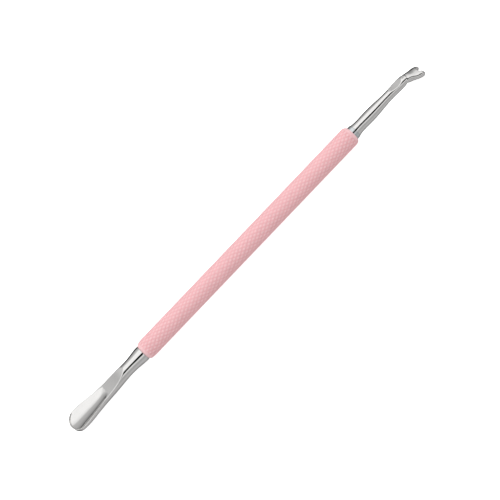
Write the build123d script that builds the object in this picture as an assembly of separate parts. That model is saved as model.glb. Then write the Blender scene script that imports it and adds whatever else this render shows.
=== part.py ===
"""Double-ended cuticle pusher: a knurled grip with a spoon at one end and a notched trimmer at the other.

Frame: the origin is the middle of the grip on its axis, +X points to the trimmer, and +Z is
the side that the spoon's scoop faces. The tool is symmetric about the XZ plane. All sizes are
in millimetres.
"""
from build123d import *
from math import cos, pi, radians, sin, sqrt, tan
import os

# ---- Handle tube inside the sleeve ----
grip_length = 83.6
tube_outer_diameter = 4.0
tube_wall = 0.4

# ---- Grip sleeve, moulded over the tube ----
grip_diameter = 6.0
pusher_end_wall = 0.45         # rubber left over the tube at the end face beside the pusher
pusher_shoulder_length = 2.2
trimmer_end_wall = 0.25
trimmer_shoulder_length = 1.6

# ---- Tangs pressed into the tube ----
press_clearance = 0.0          # press fits: the faces touch
tang_chamfer = 0.4
pusher_tang_length = 16.0
trimmer_tang_length = 14.0
trimmer_tang_diameter = 2.4

# ---- Flanged bush that centres the trimmer's tang ----
bush_depth = 6.0
flange_length = 1.1
flange_overhang = 0.13         # beyond the tube's outside
flange_step = 0.045            # of the flange's rim above the shank

# ---- Pusher: round waisted shank that flattens into a spoon ----
pusher_reach = 28.7            # from the grip's end to the spoon's tip
pusher_root_radius = 2.35
taper_radius = 2.13            # halfway to the waist
waist_radius = 1.98
waist_reach = 7.0
neck_radius = 2.4
neck_reach = 14.5
flare_back_depth = 1.95        # halfway from the neck to where the spoon is widest
flare_squareness = 2.3
spoon_half_width = 3.65
spoon_tip_length = 3.1         # from where the spoon is widest to its tip
spoon_squareness = 2.7         # 2 is an ellipse, more is boxier
rim_height = 0.55              # height of the spoon's rim above the axis
back_depth = 1.35              # depth of the spoon's back at its widest
tip_back_depth = 0.1
ramp_radius = 26.0             # ground ramp from the shank's top down to the rim
ramp_end_reach = 15.5

# ---- Scoop hollowed out of the spoon ----
scoop_start_reach = 14.8
scoop_start_half_width = 1.5
scoop_start_depth = 0.02
scoop_entry_length = 1.6
scoop_entry_half_width = 2.05
scoop_entry_depth = 0.5
scoop_flare_depth = 0.8
scoop_depth = 0.9              # where the spoon is widest
scoop_tip_depth = 0.2
scoop_land = 0.28              # width of the rim around the scoop

# ---- Trimmer's tapered shank, with a saddle before the bend ----
ridge_reach = 20.2             # from the grip's end to the bend
ridge_height = 1.22            # of the bend's top above the axis
shank_root_radius = 1.93
shank_waist_radius = 1.42
waist_to_ridge = 4.8
shank_end_half_width = 1.52    # at the bend
shank_end_half_height = 1.3
shank_burial = 1.3             # how far the shank's end runs on inside the head
shank_burial_inset = 0.4
saddle_to_ridge = 2.4          # from the saddle's lowest place
saddle_height = 1.0
saddle_ramp_radius = 9.0
saddle_rise_radius = 7.5

# ---- Trimmer's head, bent down and notched ----
top_first_tilt = 9.0           # degrees down from the shank's axis, at the bend
top_curve_radius = 12.0        # the bend's top curves down on this radius
head_tilt = 26.0               # degrees that the head's straight middle line runs down
ridge_to_head = 1.0            # from the bend to the head's root
head_root_drop = 0.28          # of the middle line at the root, below the axis
head_root_half_width = 1.5
head_root_half_thickness = 1.05
head_burial = 1.0              # how far the head's root reaches back inside the shank
head_burial_inset = 0.3
head_length = 5.6              # along the middle line, from the root to the lobes' tips
head_swell_length = 4.1        # from the root to where the head is thickest
head_half_width = 2.2
head_half_thickness = 1.15
head_squareness = 2.3
hollow_radius = 1.4            # groove ground along the head's underside
hollow_start = 3.0             # from the bend
hollow_cover = 0.75            # from the top's curve down to the hollow
notch_depth = 1.6
notch_root_half_width = 0.75
notch_half_angle = 13.0
notch_root_radius = 0.4
lobe_radius = 0.9

half_grip = grip_length / 2
tube_bore = tube_outer_diameter - 2 * tube_wall
flare_half_width = (neck_radius + spoon_half_width) / 2
spoon_widest_reach = pusher_reach - spoon_tip_length
flare_reach = (neck_reach + spoon_widest_reach) / 2
saddle_reach = ridge_reach - saddle_to_ridge
shank_waist_reach = ridge_reach - waist_to_ridge
head_root_reach = ridge_reach + ridge_to_head
BEYOND = 1.0                   # how far cutting tools run past what they cut
HALF_SECTION_POINTS = 9
SHANK_SECTIONS = 3
NOSE_SHARES = (0, 0.5, 0.8, 0.95)


def turned(profile):
    """Solid of revolution about the X axis from a closed list of (x, radius) corners."""
    outline = Plane.XZ * make_face(Polyline(*profile, close=True))
    return revolve(outline, Axis.X)


def half_section(reach, half_width, top, bottom, squareness, side):
    """Half of a superellipse across the X axis, from its top to its bottom on one side."""
    corner = 2 / squareness
    points = []
    for step in range(HALF_SECTION_POINTS):
        turn = pi * step / (HALF_SECTION_POINTS - 1)
        height = top if step <= (HALF_SECTION_POINTS - 1) / 2 else -bottom
        across = side * half_width * abs(sin(turn)) ** corner
        points.append(Vector(reach, across, height * abs(cos(turn)) ** corner))
    return Edge.make_spline(points, tangents=[(0, side, 0), (0, -side, 0)])


def blade_section(reach, half_width, top, bottom, squareness=2.0):
    """Closed wire across the X axis, the same on both sides of the XZ plane."""
    sides = [half_section(reach, half_width, top, bottom, squareness, side) for side in (1, -1)]
    return Wire(sides)


def round_section(reach, radius):
    return blade_section(reach, radius, radius, radius)


def grip_sleeve():
    half = grip_diameter / 2
    bore = tube_outer_diameter / 2 + press_clearance
    pusher_corner = bore + pusher_end_wall
    trimmer_corner = bore + trimmer_end_wall
    pusher_shoulder = -half_grip + pusher_shoulder_length
    trimmer_shoulder = half_grip - trimmer_shoulder_length
    with BuildPart() as sleeve:
        with BuildSketch(Plane.XZ):
            with BuildLine():
                Line((-half_grip, bore), (-half_grip, pusher_corner))
                EllipticalCenterArc((pusher_shoulder, pusher_corner), pusher_shoulder_length,
                                    half - pusher_corner, 90, arc_size=90)
                Line((pusher_shoulder, half), (trimmer_shoulder, half))
                EllipticalCenterArc((trimmer_shoulder, trimmer_corner), trimmer_shoulder_length,
                                    half - trimmer_corner, 0, arc_size=90)
                Polyline((half_grip, trimmer_corner), (half_grip, bore), (-half_grip, bore))
            make_face()
        revolve(axis=Axis.X)
    return sleeve.part


def handle_tube():
    outer = tube_outer_diameter / 2
    bore = tube_bore / 2
    return turned([(-half_grip, bore), (-half_grip, outer), (half_grip, outer), (half_grip, bore)])


def tang(radius, length, seat):
    """Pressed pin along -X from its seat, with a chamfered end."""
    tip = seat - length
    return turned([
        (tip, 0), (tip, radius - tang_chamfer), (tip + tang_chamfer, radius), (seat, radius), (seat, 0),
    ])


def trimmer_bush():
    outer = tube_bore / 2 - press_clearance
    bore = trimmer_tang_diameter / 2
    flange = tube_outer_diameter / 2 + flange_overhang
    rim = shank_root_radius + flange_step
    return Pos(half_grip) * turned([
        (-bush_depth, bore), (-bush_depth, outer), (0, outer), (0, flange),
        (flange_length, rim), (flange_length, bore),
    ])


def pusher_blade():
    """Outer body of the pusher along +X, from the grip's end past the spoon's tip."""
    beyond_tip = pusher_reach + BEYOND
    return Solid.make_loft([
        round_section(0, pusher_root_radius),
        round_section(waist_reach / 2, taper_radius),
        round_section(waist_reach, waist_radius),
        round_section((waist_reach + neck_reach) / 2, (waist_radius + neck_radius) / 2),
        round_section(neck_reach, neck_radius),
        blade_section(flare_reach, flare_half_width, neck_radius, flare_back_depth, flare_squareness),
        blade_section(spoon_widest_reach, spoon_half_width, neck_radius, back_depth, spoon_squareness),
        blade_section(beyond_tip, spoon_half_width, neck_radius, tip_back_depth, spoon_squareness),
    ])


def above_ramp():
    """Everything over the ground ramp and the spoon's rim plane."""
    rise = neck_radius + BEYOND - rim_height
    start = ramp_end_reach - sqrt(ramp_radius ** 2 - (ramp_radius - rise) ** 2)
    end = pusher_reach + 2 * BEYOND
    with BuildPart() as cutter:
        with BuildSketch(Plane.XZ):
            with BuildLine():
                RadiusArc((start, rim_height + rise), (ramp_end_reach, rim_height), -ramp_radius)
                Polyline((ramp_end_reach, rim_height), (end, rim_height), (end, rim_height + rise),
                         (start, rim_height + rise))
            make_face()
        extrude(amount=spoon_half_width + BEYOND, both=True)
    return cutter.part


def tip_outline(inset):
    """Plan of the spoon's rounded end, a half ellipse joined to straight sides."""
    half = spoon_half_width - inset
    with BuildPart() as plan:
        with BuildSketch(Plane.XY.offset(-2 * neck_radius)):
            with Locations((spoon_widest_reach, 0)):
                Ellipse(spoon_tip_length - inset, half)
            with Locations((spoon_widest_reach / 2, 0)):
                Rectangle(spoon_widest_reach, 2 * half)
        extrude(amount=4 * neck_radius)
    return plan.part


def scoop_section(reach, half_width, depth):
    """Circular arc below the rim plane, closed above it."""
    left = Vector(reach, -half_width, 0)
    right = Vector(reach, half_width, 0)
    up = Vector(0, 0, BEYOND)
    arc = Edge.make_three_point_arc(left, Vector(reach, 0, -depth), right)
    lid = Wire.make_polygon([right, right + up, left + up, left], close=False)
    return Wire([arc, *lid.edges()])


def scoop():
    """Hollow of the spoon, steepest at the neck and shallow at the tip."""
    widest = spoon_half_width - scoop_land
    hollow = Solid.make_loft([
        scoop_section(scoop_start_reach, scoop_start_half_width, scoop_start_depth),
        scoop_section(scoop_start_reach + scoop_entry_length, scoop_entry_half_width, scoop_entry_depth),
        scoop_section(flare_reach, flare_half_width - scoop_land, scoop_flare_depth),
        scoop_section(spoon_widest_reach, widest, scoop_depth),
        scoop_section(pusher_reach + BEYOND, widest, scoop_tip_depth),
    ])
    return (Pos(0, 0, rim_height) * hollow) & tip_outline(scoop_land)


def pusher_tip():
    blade = (pusher_blade() & tip_outline(0)) - above_ramp() - scoop()
    tip = blade + tang(tube_bore / 2 - press_clearance, pusher_tang_length, 0)
    return Pos(-half_grip) * Rot(0, 0, 180) * tip


def top_frame(distance):
    """Plane on the curve of the bend's top at a distance from the ridge, with X along the curve."""
    first = radians(top_first_tilt)
    turn = first + distance / top_curve_radius
    reach = ridge_reach + top_curve_radius * (sin(turn) - sin(first))
    height = ridge_height + top_curve_radius * (cos(turn) - cos(first))
    return Plane(origin=(reach, 0, height), x_dir=(cos(turn), 0, -sin(turn)), z_dir=(sin(turn), 0, cos(turn)))


def top_centre():
    """Centre that the bend's top curves about, with its Z across the head."""
    top = top_frame(0)
    return Pos(*(top.origin - top.z_dir * top_curve_radius)) * Rot(90, 0, 0)


def head_frame(distance):
    """Plane through the head's straight middle line at a distance from its root."""
    turn = radians(head_tilt)
    return Plane(origin=(head_root_reach + distance * cos(turn), 0, -head_root_drop - distance * sin(turn)),
                 x_dir=(cos(turn), 0, -sin(turn)), z_dir=(sin(turn), 0, cos(turn)))


def trimmer_shank():
    """Tapered round shank to its waist, then an oval one to the bend."""
    sections = []
    for step in range(SHANK_SECTIONS + 1):
        share = step / SHANK_SECTIONS
        reach = flange_length + share * (shank_waist_reach - flange_length)
        radius = shank_root_radius + share * (shank_waist_radius - shank_root_radius)
        sections.append(round_section(reach, radius))
    width = shank_end_half_width
    height = shank_end_half_height
    sections.append(blade_section(ridge_reach, width, height, height))
    width -= shank_burial_inset
    height -= shank_burial_inset
    sections.append(blade_section(ridge_reach + shank_burial, width, height, height))
    return Solid.make_loft(sections)


def head_section(distance, half_width, half_thickness):
    section = blade_section(0, half_width, half_thickness, half_thickness, head_squareness)
    return head_frame(distance) * section


def trimmer_head():
    """Swelling head from inside the shank to its rounded nose, past the lobes' tips."""
    nose = head_length - head_swell_length
    middle_half_width = (head_root_half_width + head_half_width) / 2
    middle_half_thickness = (head_root_half_thickness + head_half_thickness) / 2
    sections = [
        head_section(-head_burial, head_root_half_width - head_burial_inset,
                     head_root_half_thickness - head_burial_inset),
        head_section(0, head_root_half_width, head_root_half_thickness),
        head_section(head_swell_length / 2, middle_half_width, middle_half_thickness),
    ]
    for share in NOSE_SHARES:
        fullness = sqrt(1 - share ** 2)
        sections.append(head_section(head_swell_length + share * nose, head_half_width,
                                     head_half_thickness * fullness))
    return Solid.make_loft(sections)


def beneath_top():
    """Everything under the curve of the bend's top."""
    return top_centre() * Cylinder(top_curve_radius, 4 * head_half_width)


def head_outline():
    """Plan of the head: two rounded lobes with a narrow notch between them."""
    deep = 4 * head_half_thickness
    lobe = -lobe_radius
    spacing = head_half_width - lobe_radius
    opening = BEYOND
    gap = notch_root_half_width + (opening + notch_depth) * tan(radians(notch_half_angle))
    with BuildPart() as plan:
        with BuildSketch(Plane.XY.offset(-deep)):
            with Locations((lobe - deep, 0)):
                Rectangle(2 * deep, 2 * head_half_width + BEYOND)
            with Locations((lobe, spacing), (lobe, -spacing)):
                Circle(lobe_radius)
            with BuildSketch(mode=Mode.PRIVATE) as notch:
                with BuildLine():
                    Polyline((-notch_depth, notch_root_half_width), (opening, gap), (opening, -gap),
                             (-notch_depth, -notch_root_half_width), close=True)
                make_face()
                fillet(notch.vertices().group_by(Axis.X)[0], notch_root_radius)
            add(notch.sketch, mode=Mode.SUBTRACT)
        extrude(amount=2 * deep)
    return head_frame(head_length) * plan.part


def hollow():
    """Groove along the head's underside that follows the curve of its top."""
    ring = top_curve_radius - hollow_cover - hollow_radius
    bore = Torus(ring, hollow_radius) + Cylinder(ring, 2 * hollow_radius)
    side = 2 * top_curve_radius
    beyond_start = top_frame(hollow_start) * Pos(side / 2, 0, 0) * Box(side, side, side)
    return (top_centre() * bore) & beyond_start


def above_saddle():
    """What the grinding wheel takes off the shank's top, just before the bend."""
    ramp = saddle_ramp_radius
    rise = saddle_rise_radius
    lift = shank_end_half_height + BEYOND - saddle_height
    top = saddle_height + lift
    back = saddle_reach - sqrt(ramp ** 2 - (ramp - lift) ** 2)
    front = saddle_reach + sqrt(rise ** 2 - (rise - lift) ** 2)
    with BuildPart() as cutter:
        with BuildSketch(Plane.XZ):
            with BuildLine():
                RadiusArc((back, top), (saddle_reach, saddle_height), -ramp)
                RadiusArc((saddle_reach, saddle_height), (front, top), -rise)
                Line((front, top), (back, top))
            make_face()
        extrude(amount=shank_end_half_width + BEYOND, both=True)
    return cutter.part


def trimmer_tip():
    width = 4 * shank_root_radius
    before_bend = Box(2 * ridge_reach, width, width)
    shank = trimmer_shank() & (beneath_top() + before_bend)
    head = trimmer_head() & head_outline() & beneath_top()
    blank = shank + head - hollow() - above_saddle()
    tip = blank + tang(trimmer_tang_diameter / 2, trimmer_tang_length, flange_length)
    return Pos(half_grip) * tip


nodes = {
    "grip_sleeve": grip_sleeve,
    "handle_tube": handle_tube,
    "pusher_tip": pusher_tip,
    "trimmer_bush": trimmer_bush,
    "trimmer_tip": trimmer_tip,
}

os.makedirs("parts", exist_ok=True)
for name, make in nodes.items():
    export_step(make(), f"parts/{name}.step")
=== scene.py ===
"""Cuticle pusher lying on a pale light table under a wide softbox."""
from math import cos, pi, radians, sin

import bpy
from mathutils import Matrix, Vector


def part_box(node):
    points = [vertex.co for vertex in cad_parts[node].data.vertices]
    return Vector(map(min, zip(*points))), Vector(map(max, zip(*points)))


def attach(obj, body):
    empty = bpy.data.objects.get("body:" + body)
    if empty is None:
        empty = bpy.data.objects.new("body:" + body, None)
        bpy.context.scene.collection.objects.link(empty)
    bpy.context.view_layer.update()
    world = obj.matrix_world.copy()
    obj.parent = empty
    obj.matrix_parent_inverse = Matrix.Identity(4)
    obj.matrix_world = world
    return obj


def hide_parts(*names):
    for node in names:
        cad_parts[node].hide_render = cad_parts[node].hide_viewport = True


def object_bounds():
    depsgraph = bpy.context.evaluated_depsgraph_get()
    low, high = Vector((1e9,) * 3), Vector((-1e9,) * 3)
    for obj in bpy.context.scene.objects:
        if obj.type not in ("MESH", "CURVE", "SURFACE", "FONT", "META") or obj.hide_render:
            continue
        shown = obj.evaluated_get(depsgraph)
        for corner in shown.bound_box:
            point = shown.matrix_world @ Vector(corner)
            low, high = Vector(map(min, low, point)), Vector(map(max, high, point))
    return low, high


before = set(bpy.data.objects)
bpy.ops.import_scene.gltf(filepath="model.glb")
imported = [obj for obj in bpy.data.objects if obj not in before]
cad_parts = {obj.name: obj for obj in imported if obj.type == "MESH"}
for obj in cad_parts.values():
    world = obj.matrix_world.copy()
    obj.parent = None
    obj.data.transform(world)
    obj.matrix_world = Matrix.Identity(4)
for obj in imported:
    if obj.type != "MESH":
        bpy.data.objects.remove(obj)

MM = 0.001
cad_low, cad_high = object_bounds()

# ---- Camera: looks down on the tool, which runs up to the right ----
VIEW_LEAN = 40.0               # degrees that the camera stands off the vertical, towards -Y
TOOL_RISE = 46.31              # degrees that the tool's axis climbs in the frame
CAMERA_DISTANCE = 450 * MM
FRAME_WIDTH = 138.25 * MM      # what the frame spans at the grip's axis
AIM_RIGHT = 0.56 * MM          # the frame's centre, from the grip's middle
AIM_UP = -1.96 * MM
SENSOR_WIDTH = 36.0            # in the millimetres that Blender gives lenses in
NEAREST_SEEN = 10 * MM
FURTHEST_SEEN = 20000 * MM

# ---- Grip ----
KNURL_STARTS = 17
KNURL_PITCH = 1.92 * MM        # along the axis, from one diamond to the next
KNURL_DEPTH = 0.11 * MM
GROOVE_SHARE = 0.30            # half width of a groove, as a share of the spacing
STEPS_PER_DIAMOND = 10
KNURL_MARGIN = 0.5 * MM        # smooth band at each end of the grip
KNURL_FADE = 0.7 * MM
RIM_ROUNDING = 0.16 * MM
SHOULDER_STEPS = 16
RIM_STEPS = 5
SAME_PLACE = 0.001 * MM        # points closer than this count as level

# Directions: from the tool to the camera, along the tool, and across it as the camera sees it
camera_back = Vector((0, -sin(radians(VIEW_LEAN)), cos(radians(VIEW_LEAN))))
along_tool = Vector((1, 0, 0))
across_view = Vector((0, -cos(radians(VIEW_LEAN)), -sin(radians(VIEW_LEAN))))


# ---------------------------------------------------------------- node helpers
def new_material(name):
    """(material, its node tree, its Principled node)"""
    material = bpy.data.materials.new(name)
    material.use_nodes = True
    tree = material.node_tree
    return material, tree, tree.nodes["Principled BSDF"]


def add_node(tree, kind, **inputs):
    """New node with some of its inputs set by name."""
    made = tree.nodes.new(kind)
    for name, value in inputs.items():
        made.inputs[name.replace("_", " ")].default_value = value
    return made


def noise(tree, size, stretch=(1, 1, 1)):
    """Noise whose features are about size metres across, stretched along the axes. Gives its value."""
    place = add_node(tree, "ShaderNodeTexCoord")
    scaled = add_node(tree, "ShaderNodeMapping", Scale=[1 / s for s in stretch])
    texture = add_node(tree, "ShaderNodeTexNoise", Scale=1 / size)
    tree.links.new(place.outputs["Object"], scaled.inputs["Vector"])
    tree.links.new(scaled.outputs["Vector"], texture.inputs["Vector"])
    return texture.outputs["Fac"]


def spread(tree, value, low, high):
    """Maps a 0 to 1 value to low to high."""
    mapped = add_node(tree, "ShaderNodeMapRange", To_Min=low, To_Max=high)
    tree.links.new(value, mapped.inputs["Value"])
    return mapped.outputs["Result"]


def mix_colours(tree, share, first, second):
    """Mix of two colours, each given as an RGBA value or as an output to link."""
    mixed = tree.nodes.new("ShaderNodeMix")
    mixed.data_type = "RGBA"
    first_in, second_in = [socket for socket in mixed.inputs if socket.type == "RGBA"]
    for socket, colour in ((first_in, first), (second_in, second)):
        if isinstance(colour, bpy.types.NodeSocket):
            tree.links.new(colour, socket)
        else:
            socket.default_value = colour
    tree.links.new(share, mixed.inputs["Factor"])
    return next(socket for socket in mixed.outputs if socket.type == "RGBA")


def bump(tree, height, distance):
    """Normal of a surface raised by up to distance metres where height is 1."""
    lifted = add_node(tree, "ShaderNodeBump", Strength=1.0, Distance=distance)
    tree.links.new(height, lifted.inputs["Height"])
    return lifted.outputs["Normal"]


# ---------------------------------------------------------------- materials
GRIP_PINK = (0.87, 0.555, 0.572, 1)
# Painted shade: the darker pink that the knurl grooves are given, mixed in by knurl depth
GROOVE_PAINTED_SHADE = (0.80, 0.39, 0.415, 1)
POLISHED = (0.80, 0.79, 0.78, 1)
COLLAR = (0.66, 0.69, 0.70, 1)
TUBE = (0.70, 0.70, 0.70, 1)
RUBBER_SHINE = 0.2
RUBBER_ROUGHNESS = (0.5, 0.62)
RUBBER_PATCH = 0.8 * MM        # size of the patches that differ in roughness
RUBBER_GRAIN = 0.12 * MM
RUBBER_GRAIN_DEPTH = 0.006 * MM
POLISHED_ROUGHNESS = (0.05, 0.11)
COLLAR_ROUGHNESS = (0.14, 0.24)
TUBE_ROUGHNESS = (0.25, 0.40)
POLISHED_MARK_DEPTH = 0.0004 * MM
COLLAR_MARK_DEPTH = 0.001 * MM
TUBE_MARK_DEPTH = 0.002 * MM
MARK_WIDTH = 0.09 * MM         # of a polishing mark, along the tool
MARK_STRETCH = (1, 30, 30)     # the marks run across the tool
CLOUD_SIZE = 2.0 * MM
CLOUDED = 0.94                 # colour of steel where it is clouded, as a share of its own


def pink_rubber():
    """Matte moulded rubber, with painted shade darkening its knurl grooves."""
    material, tree, shader = new_material("pink_rubber")
    groove = tree.nodes.new("ShaderNodeAttribute")
    groove.attribute_name = "groove"
    # Painted shade: the pink darkens with the knurl's depth, as if the grooves were shaded
    colour = mix_colours(tree, groove.outputs["Fac"], GRIP_PINK, GROOVE_PAINTED_SHADE)
    tree.links.new(colour, shader.inputs["Base Color"])
    shader.inputs["Specular IOR Level"].default_value = RUBBER_SHINE
    patches = spread(tree, noise(tree, RUBBER_PATCH), *RUBBER_ROUGHNESS)
    tree.links.new(patches, shader.inputs["Roughness"])
    grain = bump(tree, noise(tree, RUBBER_GRAIN), RUBBER_GRAIN_DEPTH)
    tree.links.new(grain, shader.inputs["Normal"])
    return material


def steel(name, colour, roughness, mark_depth):
    """Steel, a little clouded, with faint marks across the tool."""
    material, tree, shader = new_material(name)
    shader.inputs["Metallic"].default_value = 1.0
    cloud = noise(tree, CLOUD_SIZE)
    deeper = (*[part * CLOUDED for part in colour[:3]], 1)
    tree.links.new(mix_colours(tree, cloud, colour, deeper), shader.inputs["Base Color"])
    marks = noise(tree, MARK_WIDTH, MARK_STRETCH)
    tree.links.new(spread(tree, marks, *roughness), shader.inputs["Roughness"])
    tree.links.new(bump(tree, marks, mark_depth), shader.inputs["Normal"])
    return material


def give(piece, material):
    """Makes a material the piece's only one."""
    piece.data.materials.clear()
    piece.data.materials.append(material)


# ---------------------------------------------------------------- grip
def end_radius(node, at_high_end):
    """Largest distance from the X axis among a node's points at one of its ends."""
    low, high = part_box(node)
    end = high.x if at_high_end else low.x
    points = [v.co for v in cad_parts[node].data.vertices]
    return max(Vector((0, p.y, p.z)).length for p in points if abs(p.x - end) < SAME_PLACE)


def shoulder_length(node, at_high_end):
    """Length over which the sleeve narrows from its full radius to its end."""
    low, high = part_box(node)
    end = high.x if at_high_end else low.x
    points = [v.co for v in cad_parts[node].data.vertices]
    full = [p for p in points if Vector((0, p.y, p.z)).length > high.y - SAME_PLACE]
    return min(abs(p.x - end) for p in full)


def shoulder_outline(end, inward, corner, length, radius, bore):
    """(x, radius) places from the bore, over the rounded rim, up the shoulder to the full radius."""
    rim = []
    for step in range(RIM_STEPS + 1):
        turn = pi / 2 * step / RIM_STEPS
        x = end + inward * RIM_ROUNDING * (1 - sin(turn))
        rim.append((x, corner - RIM_ROUNDING * (1 - cos(turn))))
    places = [(end, bore)] + rim[::-1]
    for step in range(1, SHOULDER_STEPS + 1):
        turn = pi / 2 * step / SHOULDER_STEPS
        rise = radius - corner
        x = end + inward * (RIM_ROUNDING + (length - RIM_ROUNDING) * (1 - cos(turn)))
        places.append((x, corner + rise * sin(turn)))
    return places


def groove_depth(cells):
    """1 in the middle of a groove and 0 between grooves; cells counts them."""
    off = abs(cells - round(cells))
    share = min(off / GROOVE_SHARE, 1.0)
    return 0.5 + 0.5 * cos(pi * share)


def knurl(x, turn, low, high):
    """Depth of the knurl from 0 to 1 at a place on the grip."""
    around = KNURL_STARTS * turn / (2 * pi)
    along = x / KNURL_PITCH
    depth = max(groove_depth(around + along), groove_depth(around - along))
    margin = min(x - low, high - x) - KNURL_MARGIN
    return depth * min(max(margin / KNURL_FADE, 0.0), 1.0)


def grip_outline(low, high):
    """(x, radius) places along the sleeve, from its bore at the low end to its bore at the high end."""
    radius = high.y
    bore = end_radius("handle_tube", True)
    left = shoulder_outline(low.x, 1, end_radius("grip_sleeve", False),
                            shoulder_length("grip_sleeve", False), radius, bore)
    right = shoulder_outline(high.x, -1, end_radius("grip_sleeve", True),
                             shoulder_length("grip_sleeve", True), radius, bore)
    start = left[-1][0]
    end = right[-1][0]
    rows = round((end - start) / KNURL_PITCH * STEPS_PER_DIAMOND)
    body = [(start + (end - start) * row / rows, radius) for row in range(1, rows)]
    return left + body + right[::-1]


def knurled_points(outline, columns, low, high):
    """(points, knurl depths from 0 to 1) of the outline turned round the tool's axis."""
    points = []
    depths = []
    for x, radius in outline:
        for column in range(columns):
            turn = 2 * pi * column / columns
            depth = knurl(x, turn, low.x, high.x)
            reach = radius - KNURL_DEPTH * depth
            points.append((x, reach * cos(turn), reach * sin(turn)))
            depths.append(depth)
    return points, depths


def ring_faces(rows, columns):
    """Faces that close a grid of points into a ring both ways."""
    faces = []
    for row in range(rows):
        here = row * columns
        there = (row + 1) % rows * columns
        for column in range(columns):
            beside = (column + 1) % columns
            faces.append((here + column, here + beside, there + beside, there + column))
    return faces


def grip():
    """Knurled rubber sleeve, closed round its bore."""
    low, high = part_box("grip_sleeve")
    outline = grip_outline(low, high)
    columns = KNURL_STARTS * STEPS_PER_DIAMOND
    points, depths = knurled_points(outline, columns, low, high)
    mesh = bpy.data.meshes.new("knurled_grip")
    mesh.from_pydata(points, [], ring_faces(len(outline), columns))
    # The knurl depth is kept as a mesh attribute, the mask for the painted shade in the grooves
    mesh.attributes.new("groove", "FLOAT", "POINT").data.foreach_set("value", depths)
    mesh.shade_smooth()
    piece = bpy.data.objects.new("knurled_grip", mesh)
    bpy.context.scene.collection.objects.link(piece)
    give(piece, pink_rubber())
    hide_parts("grip_sleeve")
    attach(piece, "root")


# ---------------------------------------------------------------- metal parts
EDGE_CELL = 0.09 * MM          # mesh size that the tips' ground edges are rounded with
EDGE_SMOOTHING = 12            # rounds of smoothing
EDGE_EASING = 0.5              # how far each round moves a point to the middle of its neighbours


def round_edges(node):
    """Rounds a tip's edges a little, as polishing does."""
    even = node.modifiers.new("even_mesh", "REMESH")
    even.mode = "VOXEL"
    even.voxel_size = EDGE_CELL
    even.use_smooth_shade = True
    smooth = node.modifiers.new("rounded_edges", "SMOOTH")
    smooth.factor = EDGE_EASING
    smooth.iterations = EDGE_SMOOTHING


def metal_parts():
    """Steel for the four CAD nodes that are shown as they are, with the tips' edges rounded."""
    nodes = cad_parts
    for name in ("pusher_tip", "trimmer_tip"):
        round_edges(nodes[name])
    polished = steel("polished_steel", POLISHED, POLISHED_ROUGHNESS, POLISHED_MARK_DEPTH)
    give(nodes["pusher_tip"], polished)
    give(nodes["trimmer_tip"], polished)
    collar = steel("collar_steel", COLLAR, COLLAR_ROUGHNESS, COLLAR_MARK_DEPTH)
    give(nodes["trimmer_bush"], collar)
    tube = steel("tube_steel", TUBE, TUBE_ROUGHNESS, TUBE_MARK_DEPTH)
    give(nodes["handle_tube"], tube)


# ---------------------------------------------------------------- studio
# Brightness that the tool sees round its axis, in degrees from the camera: negative is up and
# to the left in the frame.
NEAR_BANDS = [
    (-15, 1.13), (-12, 0.0), (12, 0.0), (15, 0.82), (33, 0.80), (39, 0.47), (60, 0.46), (88, 0.58),
    (112, 0.48), (150, 0.22), (180, 0.22),
]
ROUND_THE_TOOL = [
    (-180, 0.22), (-155, 0.02), (-126, 0.04), (-112, 0.34), (-98, 0.50), (-84, 0.57), (-79, 0.66),
    (-75, 0.92), (-60, 1.13),
] + NEAR_BANDS
# The same for what faces the tool's ends, where the softbox wraps further over.
PAST_THE_ENDS = [
    (-180, 0.15), (-150, 0.16), (-128, 0.26), (-110, 0.42), (-98, 0.60), (-91, 0.84), (-60, 0.98),
] + NEAR_BANDS
ENDS_START = 0.42              # how far along the tool a reflection points, out of 1
ENDS_FULL = 0.58
MATTE_GAIN = 1.6               # extra light on matte surfaces
CAMERA_WHITE = (1, 1, 1, 1)


def light_bands(tree, turn, stops):
    """Brightness round the tool's axis from (degrees, brightness) stops."""
    bands = tree.nodes.new("ShaderNodeValToRGB")
    ramp = bands.color_ramp
    ramp.elements.remove(ramp.elements[-1])
    first_light = stops[0][1]
    ramp.elements[0].color = (first_light, first_light, first_light, 1)
    for at, light in stops[1:]:
        ramp.elements.new((at + 180) / 360).color = (light, light, light, 1)
    tree.links.new(turn, bands.inputs["Fac"])
    return bands.outputs["Color"]


def part_along(tree, direction, axis):
    """How far a direction points along an axis."""
    part = tree.nodes.new("ShaderNodeVectorMath")
    part.operation = "DOT_PRODUCT"
    part.inputs[1].default_value = axis
    tree.links.new(direction, part.inputs[0])
    return part.outputs["Value"]


def turn_round_tool(tree, direction):
    """0 to 1 as a direction turns round the tool's axis, with 0.5 towards the camera."""
    angle = tree.nodes.new("ShaderNodeMath")
    angle.operation = "ARCTAN2"
    tree.links.new(part_along(tree, direction, across_view), angle.inputs[0])
    tree.links.new(part_along(tree, direction, camera_back), angle.inputs[1])
    turn = add_node(tree, "ShaderNodeMapRange", From_Min=-pi, From_Max=pi)
    tree.links.new(angle.outputs["Value"], turn.inputs["Value"])
    return turn.outputs["Result"]


def towards_ends(tree, direction):
    """0 for a direction out to the tool's side and 1 for one well towards either of its ends."""
    along = tree.nodes.new("ShaderNodeMath")
    along.operation = "ABSOLUTE"
    tree.links.new(part_along(tree, direction, along_tool), along.inputs[0])
    past = add_node(tree, "ShaderNodeMapRange", From_Min=ENDS_START, From_Max=ENDS_FULL)
    tree.links.new(along.outputs["Value"], past.inputs["Value"])
    return past.outputs["Result"]


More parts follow.
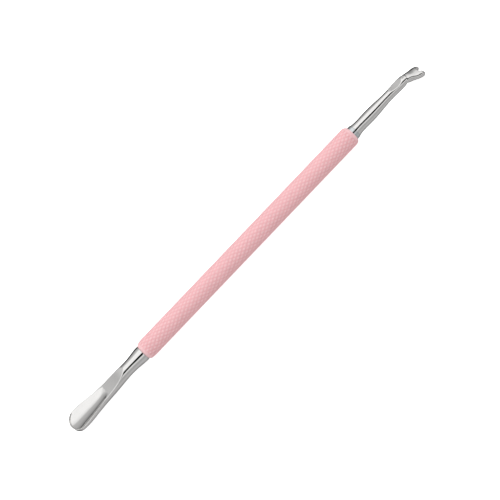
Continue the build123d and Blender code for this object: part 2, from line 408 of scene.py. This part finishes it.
def studio_world():
    """Softbox, fill and dark backing as bands round the tool, and plain white behind it."""
    world = bpy.data.worlds.new("studio")
    bpy.context.scene.world = world
    world.use_nodes = True
    tree = world.node_tree
    direction = tree.nodes.new("ShaderNodeTexCoord").outputs["Generated"]
    turn = turn_round_tool(tree, direction)
    sides = light_bands(tree, turn, ROUND_THE_TOOL)
    ends = light_bands(tree, turn, PAST_THE_ENDS)
    lights = mix_colours(tree, towards_ends(tree, direction), sides, ends)
    seen = tree.nodes.new("ShaderNodeLightPath")
    shown = mix_colours(tree, seen.outputs["Is Camera Ray"], lights, CAMERA_WHITE)
    strength = spread(tree, seen.outputs["Is Diffuse Ray"], 1.0, MATTE_GAIN)
    background = tree.nodes["Background"]
    tree.links.new(shown, background.inputs["Color"])
    tree.links.new(strength, background.inputs["Strength"])


FLOOR_SIZE = 4000 * MM
FLOOR_COLOUR = (0.86, 0.86, 0.86, 1)
FLOOR_ROUGHNESS = 0.9
FLOOR_GLOW = 0.85
GLOW_WHITE = (1, 1, 1, 1)


def light_table():
    """Pale floor, lit a little from below as a light table is, so that it throws hardly a shadow."""
    mesh = bpy.data.meshes.new("floor")
    half = FLOOR_SIZE / 2
    height = cad_low.z
    corners = [(x, y, height) for x, y in ((-half, -half), (half, -half), (half, half), (-half, half))]
    mesh.from_pydata(corners, [], [(0, 1, 2, 3)])
    floor = bpy.data.objects.new("floor", mesh)
    bpy.context.scene.collection.objects.link(floor)
    material, tree, shader = new_material("light_table")
    shader.inputs["Base Color"].default_value = FLOOR_COLOUR
    shader.inputs["Roughness"].default_value = FLOOR_ROUGHNESS
    shader.inputs["Specular IOR Level"].default_value = 0.0
    shader.inputs["Emission Color"].default_value = GLOW_WHITE
    shader.inputs["Emission Strength"].default_value = FLOOR_GLOW
    give(floor, material)
    floor.visible_glossy = False
    floor.visible_diffuse = False


def camera():
    """Camera aimed at the grip's middle, with the tool climbing to the right of its frame."""
    data = bpy.data.cameras.new("camera")
    made = bpy.data.objects.new("camera", data)
    bpy.context.scene.collection.objects.link(made)
    rise = radians(TOOL_RISE)
    right = along_tool * cos(rise) + across_view * sin(rise)
    up = along_tool * sin(rise) - across_view * cos(rise)
    aim = right * AIM_RIGHT + up * AIM_UP
    turn = Matrix((right, up, camera_back)).transposed().to_4x4()
    made.matrix_world = Matrix.Translation(aim + camera_back * CAMERA_DISTANCE) @ turn
    data.sensor_width = SENSOR_WIDTH
    data.lens = SENSOR_WIDTH * CAMERA_DISTANCE / FRAME_WIDTH
    data.clip_start = NEAREST_SEEN
    data.clip_end = FURTHEST_SEEN
    bpy.context.scene.camera = made


camera()
grip()
metal_parts()
studio_world()
light_table()
bpy.context.scene.view_settings.view_transform = "Standard"
